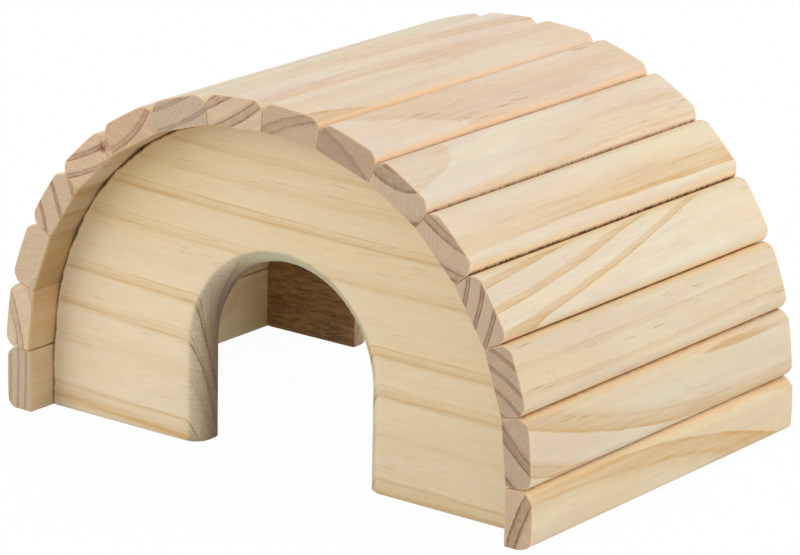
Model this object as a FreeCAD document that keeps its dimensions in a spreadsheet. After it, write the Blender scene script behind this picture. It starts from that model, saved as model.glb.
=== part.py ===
"""An arched wooden hideout: profiled pine slats glued side by side round two arched end panels.

Millimetres and degrees. X runs across the arch, Y along the slats and Z up, the front doorway
faces -Y, and the origin is on the floor under the middle of the house.

The slats are numbered from the left foot, over the crown, to the right foot. A slat's tilt is
the angle that the arch has turned through when it gets there: 0 at the left foot, where the slat
stands upright, and 180 at the right foot. All slats have one section. Its sides lean out by half
of a shoulder joint's turn, so that neighbours close up along their whole sides. The right foot
slat is sawn off where the arch meets the floor, so the more the arch leans, the narrower it is.
"""
import FreeCAD, Part
import math
import os
import Sketcher
from FreeCAD import Placement, Rotation, Vector

SIZES = (
    # slats
    ("slat_length", 139.5),          # along Y, end to end
    ("slat_inner_width", 20.0),      # across the inner face, which is the narrow one
    ("slat_thickness", 9.6),
    ("slat_corner_radius", 3.6),     # both long outer corners
    ("slat_gap", 0.1),               # between neighbours, where they come closest
    ("crown_turn", 8.4),             # turn of the joint at the top, where the arch is flattest
    ("arch_lean", 0.65),             # the arch sits over to the right by this turn
    ("left_foot_trim", 0.3),         # sawn off the left foot slat's lower side
    ("foot_corner_radius", 3.0),     # lower outer corner of the foot slats
    # end panels
    ("panel_thickness", 9.5),
    ("panel_recess", 11.8),          # from the slats' ends in to a panel's outer face
    ("glue_gap", 0.1),               # between a panel's rim and the slats' inner faces
    # doorways
    ("front_door_width", 64.0),
    ("front_door_height", 63.0),
    ("back_rim", 36.5),              # wood left all round the back doorway
    ("door_round_over", 5.5),        # outer edge of both doorways
)

SLAT_COUNT = 16
CROWN_JOINTS = 1 + SLAT_COUNT % 2
CROWN_START = (SLAT_COUNT - CROWN_JOINTS + 1) // 2
CROWN_END = CROWN_START + CROWN_JOINTS
# the slats where the arch's curvature changes, from foot to foot
ARC_ENDS = (1, 2, CROWN_START, CROWN_END, SLAT_COUNT - 1, SLAT_COUNT)

LEFT_FOOT, RIGHT_FOOT = -1, 1
FRONT, BACK = -1, 1
# a sketch's own names for its axes, its origin and the points of an edge
H_AXIS, V_AXIS = -1, -2
ORIGIN = (-1, 1)
START, END, CENTRE = 1, 2, 3
TOUCHING = 1e-4

doc = FreeCAD.newDocument("hideout")
sheet = doc.addObject("Spreadsheet::Sheet", "sizes")


# ---------------------------------------------------------------- sizes

def put(alias, content):
    """Give the sheet one more named cell, holding a plain number or a formula."""
    row = put.row = getattr(put, "row", 0) + 1
    sheet.set("A%d" % row, "'" + alias)
    sheet.set("B%d" % row, str(content))
    sheet.setAlias("B%d" % row, alias)


def size(alias):
    """The present value of a named cell."""
    return float(getattr(sheet, alias))


def joint_turn(joint):
    """Which turn the arch makes at a joint: joint 1 is between the first two slats."""
    if joint == 1:
        return "shoulder_turn / 2 + arch_lean"
    if joint == SLAT_COUNT - 1:
        return "shoulder_turn / 2 - arch_lean"
    if CROWN_START <= joint < CROWN_END:
        return "crown_turn"
    return "shoulder_turn"


def fill_sheet():
    for alias, value in SIZES:
        put(alias, value)
    put("slat_count", SLAT_COUNT)
    put("crown_joints", CROWN_JOINTS)
    # the two foot joints turn half as far as a shoulder joint
    put("shoulder_turn", "=(180 - crown_joints * crown_turn) / (slat_count - 2 - crown_joints)")
    put("side_lean", "=shoulder_turn / 2")

    # the slat's section, from the middle of its inner face
    put("inner_half", "=slat_inner_width / 2")
    put("outer_half", "=inner_half + slat_thickness * tan(side_lean)")
    put("left_foot_half", "=inner_half - left_foot_trim")
    put("corner_x", "=outer_half - slat_corner_radius * tan(45 + side_lean / 2)")
    put("corner_z", "=slat_thickness - slat_corner_radius")

    # the chain of slats: tilt, then how far along X and up Z the middle of the inner face is
    put("tilt_1", 0)
    put("run_1", 0)
    put("rise_1", "=left_foot_half")
    for joint in range(1, SLAT_COUNT):
        here, there = joint, joint + 1
        put("turn_%d" % joint, "=" + joint_turn(joint))
        put("reach_%d" % joint, "=corner_x - corner_z * tan(turn_{0} / 2)"
            " + slat_corner_radius / cos(turn_{0} / 2) + slat_gap / 2".format(joint))
        put("tilt_%d" % there, "=tilt_%d + turn_%d" % (here, joint))
        put("run_%d" % there, "=run_{0} + reach_{0} * (sin(tilt_{0}) + sin(tilt_{1}))".format(here, there))
        put("rise_%d" % there, "=rise_{0} + reach_{0} * (cos(tilt_{0}) + cos(tilt_{1}))".format(here, there))
    put("inner_span", "=run_%d" % SLAT_COUNT)
    put("right_foot_half", "=rise_%d" % SLAT_COUNT)

    # the panels' rim: it touches each slat in the middle
    for slat in ARC_ENDS:
        put("rim_x_%d" % slat, "=run_{0} - inner_span / 2 + glue_gap * cos(tilt_{0})".format(slat))
        put("rim_z_%d" % slat, "=rise_{0} - glue_gap * sin(tilt_{0})".format(slat))
    for joint in ARC_ENDS[:-1]:
        put("rim_radius_%d" % joint, "=reach_{0} / tan(turn_{0} / 2) - glue_gap".format(joint))
    put("rim_top", "=rim_z_{0} + rim_radius_{0} * (1 - sin(tilt_{0}))".format(CROWN_START))

    # doorways, each a half circle on straight jambs
    put("front_door_radius", "=front_door_width / 2")
    put("front_door_jamb", "=front_door_height - front_door_radius")
    put("back_door_radius", "=rim_x_%d - back_rim" % SLAT_COUNT)
    put("back_door_jamb", "=rim_top - back_rim - back_door_radius")
    put("panel_face_y", "=slat_length / 2 - panel_recess")


# ---------------------------------------------------------------- sketching

def new_sketch(body, name):
    """A sketch on the body's own XZ plane."""
    sketch = body.newObject("Sketcher::SketchObject", name)
    plane = [item for item in body.Origin.OriginFeatures if item.Role == "XZ_Plane"][0]
    sketch.AttachmentSupport = (plane, [""])
    sketch.MapMode = "FlatFace"
    return sketch


def bind(sketch, kind, geometry, name, formula):
    """Add one named dimension that follows the sheet."""
    value = size_of(formula)
    index = sketch.addConstraint(Sketcher.Constraint(kind, *geometry, value))
    sketch.renameConstraint(index, name)
    sketch.setExpression("Constraints." + name, formula)


def size_of(formula):
    """The value of a sheet cell, or of one with a minus sign before it."""
    sign = -1 if formula.startswith("-") else 1
    return sign * size(formula.lstrip("-").replace("sizes.", ""))


def pin(sketch, name, vertex, x=None, z=None):
    """Tie a vertex's distances from the sketch's origin to cells of the sheet."""
    for kind, axis, formula in (("DistanceX", "x", x), ("DistanceY", "z", z)):
        if formula is None:
            continue
        if size_of(formula) >= 0:
            bind(sketch, kind, ORIGIN + vertex, name + "_" + axis, formula)
        else:
            flipped = formula[1:] if formula.startswith("-") else "-" + formula
            bind(sketch, kind, vertex + ORIGIN, name + "_" + axis, flipped)


def on_floor(sketch, vertex):
    sketch.addConstraint(Sketcher.Constraint("PointOnObject", *vertex, H_AXIS))


def join(sketch, first, second):
    sketch.addConstraint(Sketcher.Constraint("Coincident", *first, *second))


def line(sketch, start, end):
    return sketch.addGeometry(Part.LineSegment(Vector(*start, 0), Vector(*end, 0)), False)


def arc(sketch, centre, radius, start_angle, end_angle):
    """An arc that runs anticlockwise between two angles, in degrees."""
    circle = Part.Circle(Vector(*centre, 0), Vector(0, 0, 1), radius)
    angles = math.radians(start_angle), math.radians(end_angle)
    return sketch.addGeometry(Part.ArcOfCircle(circle, *angles), False)


# ---------------------------------------------------------------- slats

def section_sketch(body, foot):
    """The slat's section with square corners: inner face on the X axis, outer face above it."""
    sketch = new_sketch(body, body.Name + "_section")
    lower_left, upper_left = "-sizes.inner_half", "-sizes.outer_half"
    lower_right, upper_right = "sizes.inner_half", "sizes.outer_half"
    if foot == LEFT_FOOT:
        lower_left = upper_left = "-sizes.left_foot_half"
    if foot == RIGHT_FOOT:
        lower_right = upper_right = "sizes.right_foot_half"
    thickness = size("slat_thickness")
    corners = (
        (size_of(lower_left), 0),
        (size_of(lower_right), 0),
        (size_of(upper_right), thickness),
        (size_of(upper_left), thickness),
    )
    sides = [line(sketch, corners[i], corners[(i + 1) % 4]) for i in range(4)]
    for i in range(4):
        join(sketch, (sides[i], END), (sides[(i + 1) % 4], START))
    inner, right, outer, left = sides
    sketch.addConstraint(Sketcher.Constraint("Horizontal", inner))
    sketch.addConstraint(Sketcher.Constraint("Horizontal", outer))
    on_floor(sketch, (inner, START))
    pin(sketch, "inner_left", (inner, START), x=lower_left)
    pin(sketch, "inner_right", (inner, END), x=lower_right)
    pin(sketch, "outer_right", (outer, START), x=upper_right, z="sizes.slat_thickness")
    pin(sketch, "outer_left", (outer, END), x=upper_left)
    return sketch


def long_outer_edge(shape, side):
    """The name of the outer edge that runs the slat's whole length, on its -X or its +X side."""
    thickness = size("slat_thickness")
    for index, edge in enumerate(shape.Edges, 1):
        middle = edge.CenterOfMass
        along = abs(edge.Length - size("slat_length")) < TOUCHING
        if along and abs(middle.z - thickness) < TOUCHING and middle.x * side > 0:
            return "Edge%d" % index
    raise RuntimeError("no outer edge to round on side %d" % side)


def round_edges(body, base, name, edges, radius):
    fillet = body.newObject("PartDesign::Fillet", name)
    fillet.Base = (base, edges)
    fillet.Radius = size(radius)
    fillet.setExpression("Radius", "sizes." + radius)
    doc.recompute()
    return fillet


def make_slat(number):
    """One slat, at its own place round the arch."""
    foot = {1: LEFT_FOOT, SLAT_COUNT: RIGHT_FOOT}.get(number, 0)
    name = "roof_slat_%02d" % number
    body = doc.addObject("PartDesign::Body", name)
    body.Label = name
    pad = body.newObject("PartDesign::Pad", name + "_length")
    pad.Profile = section_sketch(body, foot)
    pad.SideType = "Symmetric"
    pad.Length = size("slat_length")
    pad.setExpression("Length", "sizes.slat_length")
    doc.recompute()

    base = pad
    for side in (-1, 1):
        radius = "foot_corner_radius" if side == foot else "slat_corner_radius"
        edge = long_outer_edge(base.Shape, side)
        base = round_edges(body, base, "%s_corner_%s" % (name, "left" if side < 0 else "right"),
                           [edge], radius)

    tilt = size("tilt_%d" % number)
    body.Placement = Placement(Vector(0, 0, 0), Rotation(Vector(0, 1, 0), tilt - 90))
    body.setExpression("Placement.Rotation.Angle", "sizes.tilt_%d - 90" % number)
    body.setExpression("Placement.Base.x", "sizes.run_%d - sizes.inner_span / 2" % number)
    body.setExpression("Placement.Base.z", "sizes.rise_%d" % number)
    return body


# ---------------------------------------------------------------- end panels

def rim_point(slat):
    return size("rim_x_%d" % slat), size("rim_z_%d" % slat)


def rim_sketch(body):
    """The panel's outline: straight legs, then arcs that touch the slats, from foot to foot."""
    sketch = new_sketch(body, body.Name + "_outline")
    left_foot = (rim_point(1)[0], 0)
    right_foot = (rim_point(SLAT_COUNT)[0], 0)
    left_leg = line(sketch, left_foot, rim_point(1))
    on_floor(sketch, (left_leg, START))
    pin(sketch, "left_foot", (left_leg, START), x="sizes.rim_x_1")

    last = (left_leg, END)
    for slat, following in zip(ARC_ENDS, ARC_ENDS[1:]):
        radius = size("rim_radius_%d" % slat)
        outward = math.radians(180 - size("tilt_%d" % slat))
        x, z = rim_point(slat)
        centre = (x - radius * math.cos(outward), z - radius * math.sin(outward))
        bend = arc(sketch, centre, radius, 180 - size("tilt_%d" % following), 180 - size("tilt_%d" % slat))
        join(sketch, last, (bend, END))
        pin(sketch, "rim_%d" % slat, (bend, END), "sizes.rim_x_%d" % slat, "sizes.rim_z_%d" % slat)
        bind(sketch, "Radius", (bend,), "bend_%d" % slat, "sizes.rim_radius_%d" % slat)
        last = (bend, START)
    right_leg = line(sketch, rim_point(SLAT_COUNT), right_foot)
    join(sketch, last, (right_leg, START))
    pin(sketch, "rim_%d" % SLAT_COUNT, (right_leg, START),
        "sizes.rim_x_%d" % SLAT_COUNT, "sizes.rim_z_%d" % SLAT_COUNT)
    pin(sketch, "right_foot", (right_leg, END), x="sizes.rim_x_%d" % SLAT_COUNT)
    floor_line = line(sketch, right_foot, left_foot)
    join(sketch, (right_leg, END), (floor_line, START))
    join(sketch, (floor_line, END), (left_leg, START))
    sketch.addConstraint(Sketcher.Constraint("Horizontal", floor_line))
    return sketch


def door_sketch(body, door):
    """A doorway from the floor up: straight jambs and a half circle."""
    sketch = new_sketch(body, body.Name + "_door")
    radius_cell = "sizes.%s_radius" % door
    jamb_cell = "sizes.%s_jamb" % door
    radius = size_of(radius_cell)
    jamb = size_of(jamb_cell)
    right = line(sketch, (radius, 0), (radius, jamb))
    top = arc(sketch, (0, jamb), radius, 0, 180)
    left = line(sketch, (-radius, jamb), (-radius, 0))
    sill = line(sketch, (-radius, 0), (radius, 0))
    for first, second in (((right, END), (top, START)), ((top, END), (left, START))):
        sketch.addConstraint(Sketcher.Constraint("Tangent", *first, *second))
    for jamb_line in (right, left):
        sketch.addConstraint(Sketcher.Constraint("Vertical", jamb_line))
    join(sketch, (left, END), (sill, START))
    join(sketch, (sill, END), (right, START))
    on_floor(sketch, (sill, START))
    on_floor(sketch, (sill, END))
    sketch.addConstraint(Sketcher.Constraint("PointOnObject", top, CENTRE, V_AXIS))
    pin(sketch, "spring", (top, CENTRE), z=jamb_cell)
    bind(sketch, "Radius", (top,), "arch", radius_cell)
    return sketch


def door_edges(shape, door):
    """The doorway's edges in the panel's outer face, which lies at the body's y = 0."""
    radius = size("%s_radius" % door)
    jamb = size("%s_jamb" % door)
    names = []
    for index, edge in enumerate(shape.Edges, 1):
        box = edge.BoundBox
        in_face = abs(box.YMin) < TOUCHING and abs(box.YMax) < TOUCHING
        inside = max(-box.XMin, box.XMax) < radius + TOUCHING and box.ZMax < jamb + radius + TOUCHING
        if in_face and inside and box.ZMax > TOUCHING:
            names.append("Edge%d" % index)
    if len(names) != 3:
        raise RuntimeError("%s: expected two jambs and an arch, found %s" % (door, names))
    return names


def make_panel(name, door, facing):
    """An arched end panel. Its outer face is at the body's y = 0 and faces -Y or +Y."""
    body = doc.addObject("PartDesign::Body", name)
    body.Label = name
    pad = body.newObject("PartDesign::Pad", name + "_board")
    pad.Profile = rim_sketch(body)
    pad.Length = size("panel_thickness")
    pad.setExpression("Length", "sizes.panel_thickness")
    pad.Reversed = facing == FRONT
    doc.recompute()
    if pad.Shape.CenterOfMass.y * facing > 0:
        raise RuntimeError("%s: the board lies on the wrong side of its outer face" % name)

    cut = body.newObject("PartDesign::Pocket", name + "_doorway")
    cut.Profile = door_sketch(body, door)
    cut.Type = "Length"
    cut.Length = size("panel_thickness")
    cut.setExpression("Length", "sizes.panel_thickness")
    cut.Reversed = facing == BACK
    doc.recompute()
    radius = size("%s_radius" % door)
    opening = 2 * radius * size("%s_jamb" % door) + math.pi * radius ** 2 / 2
    removed = pad.Shape.Volume - cut.Shape.Volume
    if abs(removed - opening * size("panel_thickness")) > TOUCHING * removed:
        raise RuntimeError("%s: the doorway removed %.1f mm3" % (name, removed))

    round_edges(body, cut, name + "_round_over", door_edges(cut.Shape, door), "door_round_over")
    body.setExpression("Placement.Base.y", "%d * sizes.panel_face_y" % facing)
    return body


# ---------------------------------------------------------------- the house

def check(bodies):
    for item in doc.Objects:
        if "Invalid" in item.State or "Error" in item.State:
            raise RuntimeError("%s: %s" % (item.Label, item.State))
    for body in bodies:
        if body.Shape.isNull() or not body.Shape.isValid() or len(body.Shape.Solids) != 1:
            raise RuntimeError("%s is not one sound solid" % body.Label)


fill_sheet()
doc.recompute()
bodies = [make_slat(number) for number in range(1, SLAT_COUNT + 1)]
bodies.append(make_panel("front_panel", "front_door", FRONT))
bodies.append(make_panel("back_panel", "back_door", BACK))
doc.recompute()
check(bodies)

os.makedirs("parts", exist_ok=True)
for body in bodies:
    body.Shape.exportStep("parts/%s.step" % body.Label)
box = Part.makeCompound([body.Shape for body in bodies]).BoundBox
print("%d pieces, %.1f x %.1f x %.1f mm" % (len(bodies), box.XLength, box.YLength, box.ZLength))
print("back doorway %.1f wide, %.1f high" % (2 * size("back_door_radius"),
                                             size("back_door_jamb") + size("back_door_radius")))
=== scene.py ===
"""Dresses an arched pine hideout: sixteen moulded slats glued over two end panels.

The shapes follow the fixed frame, in metres. Each piece of wood is cut from its own log: a vertex
knows where in the log it lies, so end grain and face grain meet at every edge. A log's rings are
round its pith, whose way through the piece is given in millimetres.
"""
import math
from collections import namedtuple

import bmesh
import bpy
from bpy.props import FloatProperty, FloatVectorProperty, PointerProperty
from mathutils import Matrix, Vector, noise


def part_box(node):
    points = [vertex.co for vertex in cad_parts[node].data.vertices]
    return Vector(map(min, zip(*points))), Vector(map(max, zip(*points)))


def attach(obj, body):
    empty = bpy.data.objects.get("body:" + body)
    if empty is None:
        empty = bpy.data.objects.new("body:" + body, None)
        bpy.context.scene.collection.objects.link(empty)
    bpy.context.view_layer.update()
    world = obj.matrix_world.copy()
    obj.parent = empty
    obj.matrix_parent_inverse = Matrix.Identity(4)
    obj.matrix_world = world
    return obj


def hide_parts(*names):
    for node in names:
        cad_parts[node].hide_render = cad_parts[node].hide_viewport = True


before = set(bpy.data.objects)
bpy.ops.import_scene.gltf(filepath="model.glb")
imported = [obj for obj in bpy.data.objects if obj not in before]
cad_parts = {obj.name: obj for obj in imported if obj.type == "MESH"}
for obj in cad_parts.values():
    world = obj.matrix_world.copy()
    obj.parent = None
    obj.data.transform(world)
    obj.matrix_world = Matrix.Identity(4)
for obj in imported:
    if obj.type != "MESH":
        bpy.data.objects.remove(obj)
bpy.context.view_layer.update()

bl_info = {
    "name": "Pine hideout",
    "version": (1, 0, 0),
    "blender": (4, 5, 0),
    "location": "3D View > Sidebar > Hideout",
    "description": "Builds the slats, end panels and stage of an arched pine hideout",
    "category": "Add Mesh",
}

MM = 0.001
SLATS = sorted(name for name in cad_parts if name.startswith("roof_slat_"))
SLAT_COUNT = len(SLATS)
LEFT_FOOT, RIGHT_FOOT = 1, SLAT_COUNT
# the axis that a board's grain runs along
ALONG_X, ALONG_Y = 0, 1


def clamp(value):
    """The value, kept between 0 and 1."""
    return min(1, max(0, value))


# ---------------- the logs

# How a piece lies in its log. Places are (across, through) in millimetres, seen on the end of the
# piece. edge is a point on the sharp outer edge of one ring at the near end, pith is the log's
# middle there, and halfway and far are how far the pith has moved halfway along and at the far
# end. ring is the width of a year's growth and late the dark share of it. figure is how strongly
# the rings show: on the sides near the near end and near the far end, and on the ends. face and end
# are the lightness of side grain and end grain, red and yellow are how far the wood's colour leans
# that way, and dashes is how many resin ducts show towards the near and the far end. last is the
# last ring outside the given one that shows, or more than there are.
Log = namedtuple("Log", "edge pith halfway far ring late figure face end red yellow dashes last",
                 defaults=(99,))

SLAT_LOGS = (
    Log((0, 1.3), (5, 150), (0, 1), (0, 3), 3.1, 0.45,
        (0.6, 0.3, 0.85), 1, 0.92, -1.0, 0, (0.3, 0.3)),
    Log((5, 7.5), (-29, 69), (2, 0), (5, 1), 9.6, 0.45,
        (0.6, 0.2, 0.75), 1, 1.1, -0.6, 0, (0.3, 0.3)),
    Log((0, -4), (10, 60), (3, 2), (8, 4), 16, 0.3,
        (0.3, 0.3, 0.3), 1, 0.98, 0, 0.2, (0.2, 0.2)),
    Log((3.9, 6), (-35, 31), (3, 0), (6, 0), 7.4, 0.28,
        (1.0, 0.8, 1.4), 1, 0.94, 0.4, 0, (0.4, 0.4)),
    Log((0, 6), (19, 63), (0, 2), (4, 6), 5.3, 0.45,
        (0.8, 0.6, 1.15), 1, 1.01, 0.8, 0, (0.5, 0.5)),
    Log((-1.1, 1.6), (-10, 36), (2, 2), (5, 4), 8.4, 0.35,
        (0.9, 0.6, 1.0), 0.98, 0.92, 1.5, -0.8, (0.5, 0.5)),
    Log((-3.2, 7.0), (-15, 75), (1, 1), (3, 3), 6.5, 0.3,
        (0.6, 0.5, 0.9), 0.98, 0.88, -0.9, -0.4, (0.3, 0.3)),
    Log((-4.85, 6.8), (-34, 70), (0.4, 0), (9.5, 0), 7.6, 0.6,
        (0.3, 0.9, 1.1), 0.99, 1.06, 0.3, -1.6, (0.5, 0.7), 0),
    Log((-3.6, 6.2), (26, -50), (18, 0), (20, 0), 17, 0.3,
        (0.9, 0.3, 0.75), 0.97, 0.86, 0.8, -0.6, (0.3, 0.8)),
    Log((0, 5.3), (-19, -46), (0, 10), (0, 10), 18, 0.6,
        (0.5, 0.45, 0.55), 0.98, 0.75, 0.8, -1.8, (0.5, 1.9)),
    Log((-1.8, 4.4), (-8, 21), (0, 11.5), (0, 13), 14, 0.65,
        (0.5, 0.6, 1.1), 1.03, 0.92, -0.4, -0.8, (0.4, 1.4)),
    Log((-3.9, 5.1), (-15.5, 48), (-1, 0), (0, 0), 9, 0.5,
        (0.5, 1.2, 1.0), 1.01, 0.91, 0, 0.4, (0.3, 0.5)),
    Log((-1.1, 6.2), (-33.7, -28.8), (-10, 0), (-28, 0), 5.2, 0.42,
        (1.2, 1.1, 1.4), 1, 0.90, -0.3, 0.2, (0.3, 0.4), 1),
    Log((-1.8, 4.8), (39, -39), (0.5, 0), (1, 1), 4.9, 0.35,
        (0.5, 0.5, 1.2), 0.92, 0.80, 0.4, 1.0, (1, 1)),
    Log((-7.3, 9.6), (-47, 55), (15.5, 0), (18, 0), 9.8, 0.52,
        (1.0, 0.8, 1.2), 0.92, 0.81, 0.1, 0.3, (0.5, 0.6)),
    Log((-10, 7.3), (16, 52), (4.8, 0), (21, 0), 13, 0.42,
        (1.0, 1.1, 1.2), 0.95, 0.96, 0.3, 1.4, (0.3, 0.3)),
)
FRONT_PANEL_LOG = Log((80, 0), (-375, -1430), (-4, 0), (-5, 0), 3.27, 0.42,
                      (1.05, 1.05, 1.4), 1, 1.13, -0.3, 0, (0.5, 0.5))
BACK_PANEL_LOG = Log((40, 0), (-90, -320), (-3, 0), (2, 0), 3.1, 0.45,
                     (0.65, 0.5, 1.0), 1, 1, 0.4, 0, (0.8, 0.8))

# The front panel's dark bands from the floor up: the height of each one's sharp upper edge, in
# millimetres, and how strongly it shows. DIP is how many millimetres they fall for each one of
# depth.
FRONT_BANDS = ((-8, 0.4), (10.5, 1.2), (27, 0.3), (39, 0.9), (51, 1.25), (59.5, 0.15), (71, 0.9),
               (82, 1.05), (93, 0.6), (99.5, 0.6), (110, 0.5), (122, 0.8), (134, 0.8), (146, 0.8))
DIP = 3.4

# How each slat was cut. The first four are how far its sawn ends fall short of the frame's, in
# millimetres, on the side of the slat before and on the side of the slat after. flat_before and
# flat_after say how its two long outer edges were planed, from 0 for round to 1 for a bevel, marks
# is the slope of the saw marks on its ends, and the last is how dark the groove before it is made
# by painted shade mixed with dust.
Cut = namedtuple("Cut", "front_before front_after back_before back_after flat_before flat_after"
                 " marks grime", defaults=(0.2,))
SLAT_CUTS = (
    Cut(1.4, 1.3, 0.3, 0.6, 0.2, 0.8, -1.6),
    Cut(0.3, 0.2, 0.6, 0.2, 0.4, 0.9, 0.8, 0.3),
    Cut(0.2, 0.3, 0.1, 0.5, 0.5, 0.7, 0.6, 0.3),
    Cut(0.3, 0.1, 0.4, 0.2, 0.5, 0.7, 1.2, 0.3),
    Cut(0.1, 0.3, 0.2, 0.7, 0.6, 0.5, 1.0),
    Cut(0.3, 0.2, 0.6, 0.3, 0.5, 0.6, 0.7),
    Cut(0.1, 0.1, 0.2, 0.1, 0.4, 0.5, -1.1),
    Cut(0.2, 0.3, 0.1, 0.4, 0.5, 0.4, -0.9),
    Cut(0.3, 0.1, 0.3, 0.2, 0.2, 0.5, 0.9, 0.1),
    Cut(0.1, 0.2, 0.2, 0.4, 0.4, 0.6, -1.3),
    Cut(0.2, 0.3, 0.3, 0.1, 0.4, 0.9, 0.7),
    Cut(0.3, 0.1, 0.1, 0.4, 0.4, 0.9, 0.8, 0.5),
    Cut(0.1, 0.3, 0.5, 0.6, 0.4, 0.4, 0.9, 0.9),
    Cut(0.3, 0.2, 1.4, 0.7, 0.5, 0.4, 0.6, 0.35),
    Cut(0.2, 0.1, 1.2, 0.5, 0.9, 0.4, 1.5, 0.25),
    Cut(0.1, 0.2, 0.3, 0.2, 0.9, 0.2, -0.8),
)

# The slat that has a small knot in its front end, and how far across and through the knot lies.
KNOTTY_SLAT = 5
KNOT = (7.6, 3.9)
NO_KNOT = (1000, 1000)

# Painted light and shade on one side of a board, and its tint: lightness, how far its colour leans
# to red and to yellow, and how stained it is.
Side = namedtuple("Side", "light red yellow stain", defaults=(0,))
OUTSIDE = Side(1, 0, 0)
# painted shade, dark and warm, on the inner faces in front of the panel, from the left foot up;
# the last is for all from there on
OVERHANG_SHADES = (Side(0.89, 3.2, 1.2), Side(0.79, 4.2, 2.6), Side(0.56, 4.9, 3.2),
             Side(0.59, 3.2, 1.8), Side(0.74, 1.0, 0.2), Side(0.64, 3.2, 1.2))
# painted light on the slats' inner faces behind the panel
NEST_LIGHT = Side(1.36, -0.2, 2.6)
# the front doorway's round-over, and painted shade deeper in its jambs
ROUND_OVER = Side(1.05, -2.0, 1.5, 0.2)
DOOR_JAMB_SHADE = Side(0.51, -0.3, 1.2, 0.5)
# painted shade in the back doorway's jambs
BACK_JAMB_SHADE = Side(0.76, -1.0, 2.6)
BACK_OUTSIDE = Side(0.92, -0.3, 0)
# the back panel's inner face: painted shade, darker and warmer, and its stained mottling
BACK_INSIDE_SHADE_AND_STAIN = Side(0.63, 6.2, 1.9, 1)


def pith_shift(log, part):
    """How far the pith has moved at a part of the way along, on a smooth bend."""
    straight = [4 * half - far for half, far in zip(log.halfway, log.far)]
    bend = [2 * far - 4 * half for half, far in zip(log.halfway, log.far)]
    return [s * part + b * part * part for s, b in zip(straight, bend)]


def place_in_log(log, across, through, part):
    """Where a point lies from the pith, in ring widths."""
    shift = pith_shift(log, part)
    return ((across - log.pith[0] - shift[0]) / log.ring,
            (through - log.pith[1] - shift[1]) / log.ring)


def first_edge(log):
    """How many ring widths from the pith the given sharp edge lies."""
    return math.dist(log.edge, log.pith) / log.ring


def band_at(bands, height):
    """The number of the band a height belongs to, with a fraction, and how strong the band is."""
    number, ((low, before), (high, after)) = next(
        (number, pair) for number, pair in enumerate(zip(bands, bands[1:])) if height <= pair[1][0])
    part = (height - low) / (high - low)
    return number + part, before + (after - before) * clamp(part * 2.5)


# ---------------- settings

def metres(name, description, default):
    return FloatProperty(name=name, description=description, default=default, unit="LENGTH")


def degrees(name, description, default):
    return FloatProperty(name=name, description=description, default=math.radians(default),
                         unit="ROTATION")


def watts(name, description, default):
    return FloatProperty(name=name, description=description, default=default, unit="POWER")


def wood_colour(name, description, colour):
    return FloatVectorProperty(name=name, description=description, default=colour, subtype="COLOR",
                               size=3, min=0, max=1)


class SlatSizes(bpy.types.PropertyGroup):
    inner_width: metres("Inner width", "Across a slat's inner face", 0.020)
    thickness: metres("Thickness", "Through a slat", 0.0096)
    corner_radius: metres("Corner radius", "Both long outer corners", 0.0036)
    gap: metres("Gap", "Between neighbours, where they come closest", 0.0001)
    crown_turn: degrees("Crown turn", "Turn of the joint at the top", 8.4)
    arch_lean: degrees("Arch lean", "How far the arch sits over to the right", 0.65)
    foot_trim: metres("Left foot trim", "Sawn off the left foot slat", 0.0003)
    foot_corner_width: metres("Foot corner width",
                              "The lower outer edge of the foot slats, across", 0.003)
    foot_corner_height: metres("Foot corner height",
                               "The left foot's lower outer edge, through", 0.0032)
    right_foot_corner_height: metres("Right foot corner height",
                                     "The right foot's lower outer edge, through", 0.0055)
    crowning: metres("Crowning", "How far the outer face falls to its sides", 0.00018)
    easing: metres("Easing", "Sanding of the edges round both ends", 0.0004)
    sanding: metres("Sanding", "Unevenness left by the sander", 0.00008)


class PanelSizes(bpy.types.PropertyGroup):
    thickness: metres("Thickness", "Through an end panel", 0.0095)
    glue_gap: metres("Glue gap", "Between a panel's rim and the slats", 0.0001)
    door_width: metres("Doorway width", "Clear width of the front doorway", 0.064)
    door_height: metres("Doorway height", "Clear height of the front doorway", 0.063)
    back_rim: metres("Back rim", "Wood left round the back doorway", 0.0365)
    round_over: metres("Round-over", "Outer edge of both doorways", 0.0055)
    easing: metres("Easing", "Sanding of the other edges", 0.0004)
    chipping: metres("Chipping", "Deepest chip in the rim's outer edge", 0.0005)


class WoodColours(bpy.types.PropertyGroup):
    cream: wood_colour("Cream", "Slats' palest side grain", (0.80, 0.695, 0.515))
    pink: wood_colour("Pink", "Slats' pinker side grain", (0.775, 0.63, 0.475))
    straw: wood_colour("Straw", "Slats' yellower side grain", (0.81, 0.665, 0.435))
    slat_late: wood_colour("Slat latewood", "Dark part of a ring, on a slat's side",
                           (0.67, 0.41, 0.18))
    honey: wood_colour("Honey", "Panels' side grain", (0.74, 0.605, 0.40))
    corn: wood_colour("Corn", "Panels' yellower side grain", (0.74, 0.58, 0.355))
    amber: wood_colour("Amber", "Dark part of a ring, on a panel's face", (0.60, 0.375, 0.15))
    end_early: wood_colour("End grain", "Pale part of a ring, on an end", (0.605, 0.445, 0.297))
    end_late: wood_colour("End latewood", "Dark part of a ring, on an end", (0.18, 0.095, 0.05))
    end_red: wood_colour("End red", "Redder latewood on an end", (0.26, 0.11, 0.055))
    fleck: wood_colour("Fleck", "Resin ducts and small dark flecks", (0.25, 0.125, 0.04))
    # edge: the sanded edges, and also the painted warm light on the slats' edges by the grooves
    edge: wood_colour("Edge", "Sanded edges", (0.92, 0.66, 0.39))
    # groove and crack: painted shade, with dust, in the slats' grooves and in a panel's rim chips
    groove: wood_colour("Groove", "The slats' sides, and the chips in a panel's rim",
                        (0.46, 0.24, 0.10))
    crack_shade: wood_colour("Crack", "Deepest in the grooves between the slats", (0.09, 0.035, 0.012))
    stain: wood_colour("Stain", "Mottling of the back panel's inner face", (0.17, 0.09, 0.04))
    knot: wood_colour("Knot", "The small knot in one slat's end", (0.26, 0.07, 0.03))


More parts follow.
